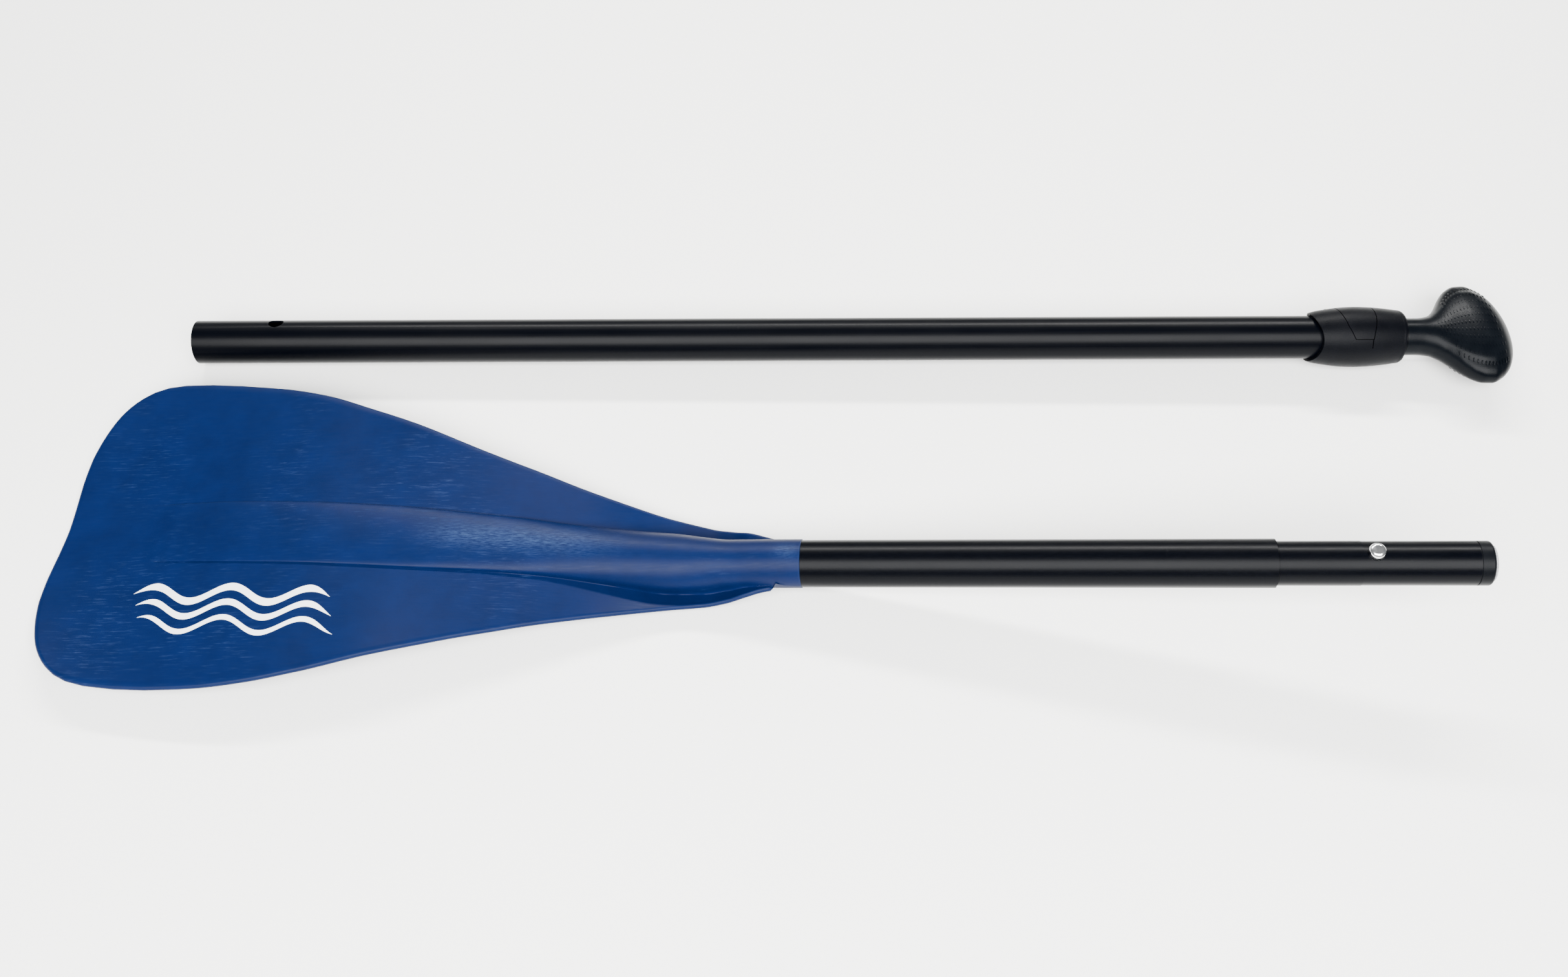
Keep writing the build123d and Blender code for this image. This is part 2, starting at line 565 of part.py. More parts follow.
# palm grip: distance along the handle, half-width, half-thickness, lift of the section centre
GRIP = [(SHAFT_END, 12.5, 12.5, 0.0), (826, 12.6, 12.4, 0.0), (834, 14.0, 12.2, 0.1),
        (840, 18.0, 12.3, 0.3), (845, 23.4, 12.8, 0.5), (850, 29.8, 13.5, 0.8),
        (856, 35.8, 14.3, 1.1), (862, 38.9, 14.8, 1.4), (868, 39.3, 14.6, 1.5),
        (874, 36.6, 13.6, 1.5), (879.5, 31.6, 11.6, 1.5), (884, 24.4, 8.7, 1.5),
        (887.2, 16.0, 5.4, 1.5), (889.0, 6.5, 2.2, 1.5)]
with BuildPart() as palm_grip:
    for x, w, t, lift in GRIP:
        with BuildSketch(across_grip(x)):
            with Locations((0.6 * lift, lift)):
                Ellipse(w, t)
    loft()
    with BuildSketch(across_handle(SHAFT_END - 36)):
        Circle(SHAFT_BORE)
    extrude(amount=36)
    with BuildSketch(across_handle(SHAFT_END - 36)):
        Circle(8.0)
    extrude(amount=44, mode=Mode.SUBTRACT)
    with BuildSketch(out_of_handle(804, 180, 5)):
        Circle(1.9)
    extrude(amount=9, mode=Mode.SUBTRACT)
palm_grip.part.label = "palm_grip"
export_step(palm_grip.part, "parts/palm_grip.step")

# flush pin that holds the grip stub in the inner shaft
with BuildPart() as grip_pin:
    with BuildSketch(out_of_handle(804, 180, 8.6)):
        Circle(1.9)
    extrude(amount=SHAFT_R - 8.65)
grip_pin.part.label = "grip_pin"
export_step(grip_pin.part, "parts/grip_pin.step")
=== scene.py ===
import math

import bmesh
import bpy
import numpy as np
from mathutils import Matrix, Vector


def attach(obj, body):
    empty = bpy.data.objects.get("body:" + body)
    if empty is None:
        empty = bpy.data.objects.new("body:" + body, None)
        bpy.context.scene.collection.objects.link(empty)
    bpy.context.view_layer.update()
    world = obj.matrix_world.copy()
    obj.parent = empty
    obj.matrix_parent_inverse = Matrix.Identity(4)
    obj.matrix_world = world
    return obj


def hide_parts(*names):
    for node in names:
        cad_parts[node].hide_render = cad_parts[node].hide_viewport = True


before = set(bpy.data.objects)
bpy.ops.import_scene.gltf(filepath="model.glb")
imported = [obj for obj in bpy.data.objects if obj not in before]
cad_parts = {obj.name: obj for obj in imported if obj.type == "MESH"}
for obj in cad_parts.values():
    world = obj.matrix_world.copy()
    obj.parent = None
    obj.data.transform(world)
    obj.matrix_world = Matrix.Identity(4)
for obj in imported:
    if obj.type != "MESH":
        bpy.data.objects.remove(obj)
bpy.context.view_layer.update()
MM = 0.001

# ------------------------------------------------------------------ frames shared with the CAD part
NECK = np.array([-4.15, -66.02, 21.0])
RISE, YAW = math.radians(7.5), math.radians(-4.0)
HANDLE = np.array([-413.55, 108.48, 14.51])
TILT = math.radians(0.425)
EX = np.array([math.cos(YAW), math.sin(YAW), 0.0])
EY = np.array([-math.sin(YAW), math.cos(YAW), 0.0])
HX = np.array([math.cos(TILT), 0.0, math.sin(TILT)])
HZ = np.array([-math.sin(TILT), 0.0, math.cos(TILT)])
SLOPE = math.tan(RISE)


def blade_point(x, y, z):
    """Blade frame (mm from the neck, along and across, height above the floor) to metres."""
    base = np.array([NECK[0], NECK[1], 0.0])
    return (base + np.multiply.outer(x, EX) + np.multiply.outer(y, EY)
            + np.multiply.outer(z, (0, 0, 1.0))) * MM


def handle_point(x, y, z):
    """Handle frame (mm from the open end, +Y, up) to metres."""
    return (HANDLE + np.multiply.outer(x, HX) + np.multiply.outer(y, (0, 1.0, 0))
            + np.multiply.outer(z, HZ)) * MM


def curve(table, column, x):
    """Smooth curve through one column of a table against its first column, with no overshoot."""
    rows = sorted(table)
    xs = np.array([r[0] for r in rows], float)
    ys = np.array([r[column] for r in rows], float)
    slope = np.diff(ys) / np.diff(xs)
    tan = np.zeros(len(xs))
    tan[0], tan[-1] = slope[0], slope[-1]
    same = slope[:-1] * slope[1:] > 0
    mid = 2 * slope[:-1] * slope[1:] / np.where(same, slope[:-1] + slope[1:], 1)
    tan[1:-1] = np.where(same, mid, 0)
    x = np.clip(x, xs[0], xs[-1])
    i = np.clip(np.searchsorted(xs, x, side="right") - 1, 0, len(xs) - 2)
    h = xs[i + 1] - xs[i]
    t = (x - xs[i]) / h
    return (ys[i] * (1 + 2 * t) * (1 - t) ** 2 + tan[i] * h * t * (1 - t) ** 2
            + ys[i + 1] * t * t * (3 - 2 * t) - tan[i + 1] * h * t * t * (1 - t))


def step(a, b, x):
    t = np.clip((x - a) / (b - a), 0, 1)
    return t * t * (3 - 2 * t)


def softmax(a, b, r):
    h = np.clip(0.5 + 0.5 * (a - b) / r, 0, 1)
    return b + (a - b) * h + r * h * (1 - h)


def mesh_object(name, verts, faces, material, angle=None):
    me = bpy.data.meshes.new(name)
    me.from_pydata([tuple(v) for v in verts], [], faces)
    me.validate()
    bm = bmesh.new()
    bm.from_mesh(me)
    bmesh.ops.remove_doubles(bm, verts=bm.verts, dist=2e-6)
    bmesh.ops.recalc_face_normals(bm, faces=bm.faces)
    for f in bm.faces:
        f.smooth = True
    bm.to_mesh(me)
    bm.free()
    if angle is not None:
        me.set_sharp_from_angle(angle=math.radians(angle))
    o = bpy.data.objects.new(name, me)
    bpy.context.scene.collection.objects.link(o)
    me.materials.append(material)
    return o


# ------------------------------------------------------------------ materials
def new_material(name, **sockets):
    m = bpy.data.materials.new(name)
    m.use_nodes = True
    nt = m.node_tree
    p = nt.nodes["Principled BSDF"]
    for key, value in sockets.items():
        p.inputs[key.replace("_", " ")].default_value = value
    return m, nt, p


def node(nt, kind, **values):
    n = nt.nodes.new(kind)
    for key, value in values.items():
        if hasattr(n, key):
            setattr(n, key, value)
        else:
            n.inputs[key.replace("_", " ")].default_value = value
    return n


def coords(nt, scale, rotation=(0, 0, 0)):
    tc = nt.nodes.new("ShaderNodeTexCoord")
    mp = node(nt, "ShaderNodeMapping")
    mp.inputs["Scale"].default_value = scale
    mp.inputs["Rotation"].default_value = rotation
    nt.links.new(tc.outputs["Object"], mp.inputs["Vector"])
    return mp.outputs["Vector"]


def noise(nt, vector, scale, detail=3.0, rough=0.55, distortion=0.0):
    n = node(nt, "ShaderNodeTexNoise", Scale=scale, Detail=detail, Roughness=rough,
             Distortion=distortion)
    nt.links.new(vector, n.inputs["Vector"])
    return n.outputs["Fac"]


def ramp(nt, fac, stops):
    r = nt.nodes.new("ShaderNodeValToRGB")
    els = r.color_ramp.elements
    while len(els) < len(stops):
        els.new(0.5)
    for e, (pos, col) in zip(els, stops):
        e.position = pos
        e.color = (*col, 1) if len(col) == 3 else col
    nt.links.new(fac, r.inputs["Fac"])
    return r.outputs["Color"]


def grey(v):
    return (v, v, v)


def fade(nt, fac, low, dark, high, light):
    """Grey ramp from one value at low to another at high."""
    return ramp(nt, fac, [(low, grey(dark)), (high, grey(light))])


def math_node(nt, op, a, b=None):
    n = nt.nodes.new("ShaderNodeMath")
    n.operation = op
    for i, v in enumerate((a, b)):
        if v is None:
            continue
        if isinstance(v, (int, float)):
            n.inputs[i].default_value = v
        else:
            nt.links.new(v, n.inputs[i])
    return n.outputs[0]


def mix(nt, fac, a, b):
    n = nt.nodes.new("ShaderNodeMix")
    n.data_type = "RGBA"
    for sock, v in ((n.inputs[0], fac), (n.inputs[6], a), (n.inputs[7], b)):
        if isinstance(v, (int, float)):
            sock.default_value = v
        elif isinstance(v, tuple):
            sock.default_value = (*v, 1) if len(v) == 3 else v
        else:
            nt.links.new(v, sock)
    return n.outputs[2]


def bump(nt, shader, height, strength, distance):
    b = nt.nodes.new("ShaderNodeBump")
    b.inputs["Strength"].default_value = strength
    b.inputs["Distance"].default_value = distance
    nt.links.new(height, b.inputs["Height"])
    nt.links.new(b.outputs["Normal"], shader.inputs["Normal"])


def blade_material():
    """Moulded blue plastic: soft sheen, faint mottling, long fine scuffs and whitened wear, with a
    painted highlight along the spine crest and on the neck.
    """
    m, nt, p = new_material("moulded_blue", IOR=1.36, Specular_IOR_Level=0.15)
    fine = coords(nt, (1, 1, 1))
    mottle = noise(nt, fine, 45, 4, 0.6)
    base = ramp(nt, mottle, [(0.25, (0.0001, 0.0040, 0.028)), (0.75, (0.0002, 0.0056, 0.038))])
    along = coords(nt, (14, 190, 60), (0, 0, math.radians(-4)))
    streak = noise(nt, along, 6, 5, 0.65, 0.4)
    scuff = fade(nt, streak, 0.56, 0, 0.70, 1)
    patch = fade(nt, noise(nt, fine, 11, 3, 0.5), 0.48, 0, 0.66, 1)
    pale_marks = math_node(nt, "MULTIPLY", scuff, patch)
    geo = nt.nodes.new("ShaderNodeNewGeometry")
    edge = fade(nt, geo.outputs["Pointiness"], 0.515, 0, 0.56, 1)
    mask = nt.nodes.new("ShaderNodeVertexColor")
    # pale-mark layer: rubbed wear with a painted highlight on the spine crest, a painted highlight on the
    # neck
    mask.layer_name = "pale_marks"
    # streaky break-up of the crest and neck paint, which is partly wear and partly painted highlight
    crest_streaks = fade(nt, noise(nt, along, 16, 6, 0.7), 0.42, 0, 0.70, 1)
    crest = math_node(nt, "MULTIPLY", crest_streaks, mask.outputs["Color"])
    amount = math_node(nt, "ADD", math_node(nt, "MULTIPLY", pale_marks, 0.16),
                       math_node(nt, "MULTIPLY", crest, 0.42))
    amount = math_node(nt, "ADD", amount, math_node(nt, "MULTIPLY", edge, 0.05))
    # one pale blue for the scuffs and wear and for the painted highlights on the crest and the neck
    col = mix(nt, amount, base, (0.055, 0.10, 0.22))
    nt.links.new(col, p.inputs["Base Color"])
    rough = fade(nt, streak, 0.30, 0.40, 0.75, 0.54)
    nt.links.new(rough, p.inputs["Roughness"])
    height = math_node(nt, "ADD", math_node(nt, "MULTIPLY", noise(nt, fine, 900, 3, 0.6), 0.35),
                       math_node(nt, "MULTIPLY", streak, 0.4))
    bump(nt, p, height, 0.20, 0.0002)
    return m


def tube_material():
    """Black anodised aluminium: satin, drawn lines along the tube, faint handling marks."""
    m, nt, p = new_material("black_anodised", IOR=1.45, Specular_IOR_Level=0.07)
    fine = coords(nt, (1, 1, 1))
    drawn = coords(nt, (6, 520, 520), (0, 0, 0))
    lines = noise(nt, drawn, 3, 4, 0.6)
    base = ramp(nt, lines, [(0.3, (0.0001, 0.0003, 0.0010)), (0.75, (0.0003, 0.0006, 0.0017))])
    marks = fade(nt, noise(nt, coords(nt, (60, 14, 14)), 7, 6, 0.7, 0.6), 0.66, 0, 0.74, 1)
    col = mix(nt, math_node(nt, "MULTIPLY", marks, 0.22), base, (0.010, 0.011, 0.013))
    nt.links.new(col, p.inputs["Base Color"])
    rough = math_node(nt, "ADD", math_node(nt, "MULTIPLY", lines, 0.10),
                      math_node(nt, "MULTIPLY", noise(nt, fine, 26, 3, 0.5), 0.10))
    rough = math_node(nt, "ADD", rough, 0.22)
    nt.links.new(rough, p.inputs["Roughness"])
    bump(nt, p, lines, 0.10, 0.00006)
    return m


def black_plastic(name, texture_scale, grain, rough_lo, rough_hi, base_lo, base_hi):
    m, nt, p = new_material(name, IOR=1.36, Specular_IOR_Level=0.10)
    fine = coords(nt, (1, 1, 1))
    cloud = noise(nt, fine, 60, 4, 0.6)
    col = ramp(nt, cloud, [(0.3, base_lo), (0.72, base_hi)])
    worn = noise(nt, coords(nt, (40, 160, 90), (0.3, 0.2, 0.6)), 8, 6, 0.72, 0.5)
    rub = fade(nt, worn, 0.64, 0, 0.76, 1)
    col = mix(nt, math_node(nt, "MULTIPLY", rub, 0.25), col, (0.012, 0.014, 0.017))
    nt.links.new(col, p.inputs["Base Color"])
    nt.links.new(fade(nt, cloud, 0.3, rough_lo, 0.75, rough_hi), p.inputs["Roughness"])
    vor = node(nt, "ShaderNodeTexVoronoi", Scale=texture_scale)
    nt.links.new(fine, vor.inputs["Vector"])
    soft = noise(nt, fine, texture_scale * 0.4, 3, 0.6)
    bump(nt, p, math_node(nt, "ADD", vor.outputs["Distance"], soft), grain, 0.00012)
    return m


def metal_material(name, base, rough_lo, rough_hi, scale):
    m, nt, p = new_material(name, Metallic=1.0)
    fine = coords(nt, (1, 1, 1))
    n = noise(nt, fine, scale, 5, 0.6, 0.3)
    lo = tuple(c * 0.82 for c in base)
    nt.links.new(ramp(nt, n, [(0.3, lo), (0.7, base)]), p.inputs["Base Color"])
    nt.links.new(fade(nt, n, 0.3, rough_lo, 0.7, rough_hi), p.inputs["Roughness"])
    bump(nt, p, noise(nt, fine, scale * 6, 3, 0.6), 0.08, 0.00005)
    return m


def foam_material():
    """Grey closed-cell foam with pores."""
    m, nt, p = new_material("foam_grey", IOR=1.4)
    fine = coords(nt, (1, 1, 1))
    vor = node(nt, "ShaderNodeTexVoronoi", Scale=1300)
    nt.links.new(fine, vor.inputs["Vector"])
    pores = ramp(nt, vor.outputs["Distance"], [(0.1, (0.10, 0.10, 0.105)), (0.6, (0.30, 0.30, 0.31))])
    nt.links.new(pores, p.inputs["Base Color"])
    nt.links.new(fade(nt, noise(nt, fine, 200), 0.3, 0.75, 0.7, 0.95), p.inputs["Roughness"])
    bump(nt, p, vor.outputs["Distance"], 0.5, 0.0003)
    return m


def nylon_material():
    m, nt, p = new_material("nylon_natural", IOR=1.5)
    fine = coords(nt, (1, 1, 1))
    n = noise(nt, fine, 90, 4, 0.6)
    col = ramp(nt, n, [(0.3, (0.50, 0.49, 0.45)), (0.7, (0.62, 0.61, 0.57))])
    nt.links.new(col, p.inputs["Base Color"])
    nt.links.new(fade(nt, n, 0.3, 0.38, 0.7, 0.52), p.inputs["Roughness"])
    bump(nt, p, noise(nt, fine, 700), 0.15, 0.0001)
    return m


def print_material():
    """White screen print, slightly worn through."""
    m, nt, p = new_material("print_white", IOR=1.45)
    fine = coords(nt, (1, 1, 1))
    n = noise(nt, coords(nt, (20, 120, 60)), 9, 6, 0.7)
    col = ramp(nt, n, [(0.30, (0.55, 0.62, 0.72)), (0.42, (0.80, 0.82, 0.84))])
    nt.links.new(col, p.inputs["Base Color"])
    nt.links.new(fade(nt, noise(nt, fine, 120), 0.3, 0.45, 0.7, 0.6), p.inputs["Roughness"])
    bump(nt, p, n, 0.1, 0.0001)
    return m


BLUE = blade_material()
TUBE = tube_material()
COLLAR = black_plastic("collar_plastic", 2200, 0.30, 0.40, 0.50,
                       (0.0003, 0.0005, 0.0013), (0.0008, 0.0011, 0.0022))
GRIP = black_plastic("grip_plastic", 1500, 0.16, 0.27, 0.36,
                     (0.0006, 0.0011, 0.0020), (0.0016, 0.0024, 0.0036))
CAP = black_plastic("cap_plastic", 1800, 0.15, 0.35, 0.45,
                    (0.0010, 0.0014, 0.0022), (0.0020, 0.0025, 0.0036))
CHROME = metal_material("steel_bright", (0.80, 0.80, 0.80), 0.10, 0.20, 300)
STEEL = metal_material("steel_satin", (0.45, 0.45, 0.46), 0.28, 0.42, 240)
FOAM = foam_material()
NYLON = nylon_material()
PRINT = print_material()

for name, material in {
    "lower_tube": TUBE, "spigot_tube": TUBE, "main_tube": TUBE, "inner_shaft": TUBE,
    "spigot_end_cap": CAP, "foam_plug": FOAM, "snap_button": CHROME, "button_spring": STEEL,
    "blade_rivet": STEEL, "spigot_rivet": STEEL, "clamp_collar": COLLAR, "clamp_lever": COLLAR,
    "pivot_pin": STEEL, "clamp_bolt": STEEL, "thrust_washer": NYLON, "collar_pin": STEEL,
    "guide_liner": NYLON, "tail_glide": NYLON, "grip_pin": CAP,
}.items():
    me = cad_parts[name].data
    me.materials.clear()
    me.materials.append(material)

# ------------------------------------------------------------------ blade
# distance from the neck, back height at the centre line, curvature per mm
PANEL = [(-6, 14.4, 0.0070), (-24, 12.6, 0.0070), (-34, 9.8, 0.0070), (-45, 4.6, 0.0070),
         (-59, 1.4, 0.0064), (-85, 2.3, 0.0048), (-116, 8.2, 0.00134), (-147, 13.9, 0.0001),
         (-177, 17.6, 0.0001), (-207, 19.0, 0.0004), (-250, 19.6, 0.00073), (-293, 18.9, 0.00040),
         (-350, 14.0, 0.00039), (-411, 4.5, 0.00084), (-440, 1.6, 0.0011), (-470, 0.15, 0.0014),
         (-486, 0.10, 0.0014)]
OUTLINE = [(-380, 109.2), (-350, 107), (-320, 102), (-293, 94.5), (-250, 80.6), (-207, 66.2),
           (-177, 57), (-147, 48), (-116, 39.8), (-85, 32.4), (-59, 27.6), (-43, 24.6), (-33, 22.2),
           (-24, 18.7), (-16, 16.0), (-10, 15.05), (0, 15.0)]
TIP = [(-14, -468.4), (0, -467.9), (14, -468.4), (34, -469.1), (50, -468.1), (62, -465.5),
       (72.5, -461.9), (82, -457.4), (90.5, -451.4), (97, -444.9), (102, -437.9)]
CORNER = [(-380, 109.2), (-400, 109.3), (-418, 108.1), (-429.5, 105.7), (-437.9, 102)]
# distance, half-width, flank height, crest height, underside height
SPINE = [(0, 15.0, 21.0, 36.0, 0.4), (-14, 15.0, 19.2, 34.1, 0.4), (-30, 15.0, 17.0, 31.9, 0.4),
         (-44, 15.0, 15.0, 29.8, 0.4), (-59, 17.0, 11.0, 28.6, 0.06), (-85, 19.6, 9.6, 27.5, 1.4),
         (-116, 18.9, 13.8, 27.0, 6.6), (-147, 18.5, 18.8, 27.2, 12.6),
         (-177, 19.1, 22.6, 27.7, 17.6), (-207, 20.0, 23.7, 27.8, 19.6),
         (-250, 21.1, 24.6, 27.2, 20.4), (-293, 21.4, 23.7, 25.7, 19.8),
         (-350, 21.5, 18.6, 19.9, 14.9), (-395, 20.8, 11.6, 12.3, 8.2), (-418, 20.2, 7.5, 7.7, 4.6),
         (-480, 20.2, 2.5, 2.5, 3.0)]
THICK = 3.6
RIM = THICK / 2                                     # radius of the rounded edge
TIP_START = -380.0                                  # where the rows begin to bend to the tip
ACROSS, TIP_ROWS, RIM_STEPS, SAMPLES = 96, 46, 6, 200


def panel_back(x, y):
    return curve(PANEL, 1, x) + curve(PANEL, 2, x) * y * y


def top_height(x, y):
    """Face of the blade: dished panel with the rounded spine standing out of it."""
    axis = NECK[2] + x * SLOPE
    a = np.abs(y)
    hw, zf, zt = curve(SPINE, 1, x), curve(SPINE, 2, x), curve(SPINE, 3, x)
    inside = np.sqrt(np.clip(1 - (a / hw) ** 2, 0, 1))
    core = zf + (zt - zf) * inside - np.clip(a - hw, 0, None) * 5.0
    fade = step(-8, -18, x)
    panel = panel_back(x, y) + THICK
    panel = np.where(fade > 0, axis + (panel - axis) * fade - 40 * (1 - fade), axis - 40)
    r = 0.7 + 3.4 * step(-120, -62, x) * step(-10, -24, x)
    high = softmax(core, panel, np.maximum(r, 0.05))
    return np.where(x > -10, axis + np.sqrt(np.clip(225 - a * a, 0, None)), high)


def back_height(x, y):
    """Back of the blade: flat keel band along the middle, round below the neck."""
    axis = NECK[2] + x * SLOPE
    a = np.abs(y)
    neck = axis - np.sqrt(np.clip(225 - a * a, 0, None)) + np.clip(a - 15, 0, None) * 6
    hb = 6 + 8 * step(-44, -110, x)
    keel = curve(SPINE, 4, x) + np.clip(a - hb, 0, None) * 1.5
    core = neck + (keel - neck) * step(-38, -56, x)
    fade = step(-8, -18, x)
    panel = panel_back(x, y) + 40 * (1 - fade)
    r = 0.6 + 3.0 * step(-90, -60, x)
    return np.maximum(-softmax(-core, -panel, r), 0.04)


def even_points(xs, ys, count):
    """Points evenly spaced along a path."""
    d = np.concatenate([[0], np.cumsum(np.hypot(np.diff(xs), np.diff(ys)))])
    want = np.linspace(0, d[-1], count)
    return np.interp(want, d, xs), np.interp(want, d, ys)


def inset(xs, ys, side):
    """The path moved inwards by the radius of the rounded rim."""
    nx, ny = np.gradient(ys), -np.gradient(xs)
    length = np.hypot(nx, ny)
    return xs + side * RIM * nx / length, ys + side * RIM * ny / length


def blade_rows():
    """Plan position of every grid point: rows straight across, then bending round to the tip."""
    along = np.concatenate([np.array([0, -1, -3]), np.linspace(-5, -70, 34)[:-1],
                            np.linspace(-70, TIP_START, 106)])
    t = np.linspace(-1, 1, ACROSS + 1)
    rows = []
    for x in along:
        w = curve(OUTLINE, 1, x)
        w -= RIM * step(-10, -34, x)
        hw = curve(SPINE, 1, x)
        # columns crowd at the spine's flank and, on the round neck, at its sides
        foot = min(hw + 2.2, w * 0.93)
        marks = np.array([0, max(hw - 1.0, 0) / w if w > hw + 4 else 0.80, foot / w, 1.0])
        marks = np.maximum.accumulate(np.clip(marks, 0, 1))
        spread = np.interp(np.abs(t), [0, 0.40, 0.60, 1.0], marks)
        round_neck = np.sin(np.abs(t) * math.pi / 2)
        f = step(-44, -16, x)
        y = np.sign(t) * w * (spread * (1 - f) + round_neck * f)
        rows.append((np.full_like(t, x), y))
    w0 = rows[-1][1][-1]
    frac = rows[-1][1] / w0                         # lateral fraction of each column
    d = np.linspace(0, 1, SAMPLES)
    tip_y = np.linspace(0, TIP[-1][0], 2 * SAMPLES)
    tip_x, tip_y = inset(*even_points(curve(TIP, 1, tip_y), tip_y, SAMPLES), 1)
    corner = np.array(CORNER, float)
    side_x, side_y = inset(*even_points(corner[:, 0], corner[:, 1], SAMPLES), -1)
    side_x += d * (tip_x[-1] - side_x[-1])
    side_y += d * (tip_y[-1] - side_y[-1])
    for v in np.linspace(0, 1, TIP_ROWS + 1)[1:]:
        p0x, p0y = np.full_like(frac, TIP_START), w0 * frac
        p1x = np.interp(np.abs(frac), d, tip_x)
        p1y = np.sign(frac) * np.interp(np.abs(frac), d, tip_y)
        bend_x = np.interp(v, d, side_x) - ((1 - v) * p0x[-1] + v * p1x[-1])
        bend_y = np.interp(v, d, side_y) - ((1 - v) * p0y[-1] + v * p1y[-1])
        rows.append(((1 - v) * p0x + v * p1x + np.abs(frac) ** 2 * bend_x,
                     (1 - v) * p0y + v * p1y + frac * bend_y))
    return np.array([r[0] for r in rows]), np.array([r[1] for r in rows])


def paint_wear_and_highlight(o):
    """Colour attribute of pale areas: along the spine crest it is rubbed wear with a painted highlight on
    it, the spot on the neck is a painted highlight, and the flanks beside the neck are paler.
    """
    layer = o.data.color_attributes.new("pale_marks", "FLOAT_COLOR", "POINT")
    base = np.array([NECK[0], NECK[1], 0.0])
    co = np.array([v.co for v in o.data.vertices]) / MM - base
    bx, by, bz = co @ EX, co @ EY, co[:, 2]
    up = bz - back_height(bx, by) > 4.2
    # crest band: rubbed wear with a painted highlight along the spine
    crest = np.exp(-((np.abs(by - 2) / 8.0) ** 2)) * step(-250, -205, bx) * step(-95, -160, bx) * up
    # neck spot: painted highlight
    crest += 0.8 * np.exp(-(((bx + 10) / 7) ** 2) - ((by - 1) / 5) ** 2) * up
    # both flanks paler beside the neck
    crest += 0.5 * np.exp(-(((bx + 74) / 60) ** 2)) * (np.abs(by) > 20) * up
    values = np.ones((len(co), 4))
    values[:, :3] = np.clip(crest, 0, 1)[:, None]
    layer.data.foreach_set("color", values.ravel())


def build_blade():
    """Blade skin: a top and a bottom sheet on one grid, a rounded rim and a closed neck end."""
    X, Y = blade_rows()
    top, low = top_height(X, Y), back_height(X, Y)
    axis = NECK[2] + X * SLOPE
    # at the round neck both faces meet on the axis line at the sides
    side = np.abs(Y) >= 0.999 * np.abs(Y[:, -1:])
    neck_rows = X > -10
    top = np.where(side & neck_rows, axis, top)
    low = np.where(side & neck_rows, axis, low)
    top = np.maximum(top, low + 0.02)
    # the neck end is square to the rising shaft
    lean = SLOPE * step(-60, 0, X)
    verts, index, faces = [], {}, []

    def add(key, x, y, z):
        index[key] = len(verts)
        verts.append(blade_point(x, y, z))

    nr, nc = X.shape
    for i in range(nr):
        for j in range(nc):
            for sheet, z in (("t", top[i, j]), ("b", low[i, j])):
                add((sheet, i, j), X[i, j] - (z - axis[i, j]) * lean[i, j], Y[i, j], z)
    for i in range(nr - 1):
        for j in range(nc - 1):
            quad = [(i, j), (i, j + 1), (i + 1, j + 1), (i + 1, j)]
            faces.append([index[("t",) + q] for q in quad])
            faces.append([index[("b",) + quad[k]] for k in (0, 3, 2, 1)])
    # rounded rim along both sides and the tip
    ring = ([(i, 0) for i in range(nr - 1)] + [(nr - 1, j) for j in range(nc)]
            + [(i, nc - 1) for i in range(nr - 2, -1, -1)])
    px = np.array([X[r] for r in ring])
    py = np.array([Y[r] for r in ring])
    dx, dy = np.gradient(px), np.gradient(py)
    length = np.maximum(np.hypot(dx, dy), 1e-9)
    ox, oy = dy / length, -dx / length
    if np.sum(ox * (px + 230) + oy * py) < 0:
        ox, oy = -ox, -oy
    for k in range(1, RIM_STEPS):
        a = math.pi / 2 - math.pi * k / RIM_STEPS
        for n, r in enumerate(ring):
            zt, zb = top[r], low[r]
            half = (zt - zb) / 2
            reach = min(RIM, half) * math.cos(a)
            x = px[n] + ox[n] * reach
            z = (zt + zb) / 2 + half * math.sin(a)
            add(("r", k, n), x - (z - axis[r]) * lean[r], py[n] + oy[n] * reach, z)
    layers = [[index[("t",) + r] for r in ring]]
    layers += [[index[("r", k, n)] for n in range(len(ring))] for k in range(1, RIM_STEPS)]
    layers += [[index[("b",) + r] for r in ring]]
    for a, b in zip(layers[:-1], layers[1:]):
        for n in range(len(ring) - 1):
            faces.append([a[n], b[n], b[n + 1], a[n + 1]])
    # neck end: small rounding and a face down to the tube
    loop = ([index[("t", 0, j)] for j in range(nc)]
            + [index[("b", 0, j)] for j in range(nc - 2, 0, -1)])
    centre = blade_point(0.0, 0.0, NECK[2])
    shaft = np.array([math.cos(RISE) * EX[0], math.cos(RISE) * EX[1], math.sin(RISE)])
    previous = loop
    for shrink, ahead in ((0.985, 0.22), (0.955, 0.30), (0.88, 0.30)):
        current = []
        for i in loop:
            current.append(len(verts))
            verts.append(centre + (np.array(verts[i]) - centre) * shrink + shaft * ahead * MM)
        for n in range(len(loop)):
            m = (n + 1) % len(loop)
            faces.append([previous[n], previous[m], current[m], current[n]])
        previous = current
    o = mesh_object("blade_skin", verts, faces, BLUE, 38)
    paint_wear_and_highlight(o)
    return o


blade = build_blade()
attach(blade, "blade_section")
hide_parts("blade")


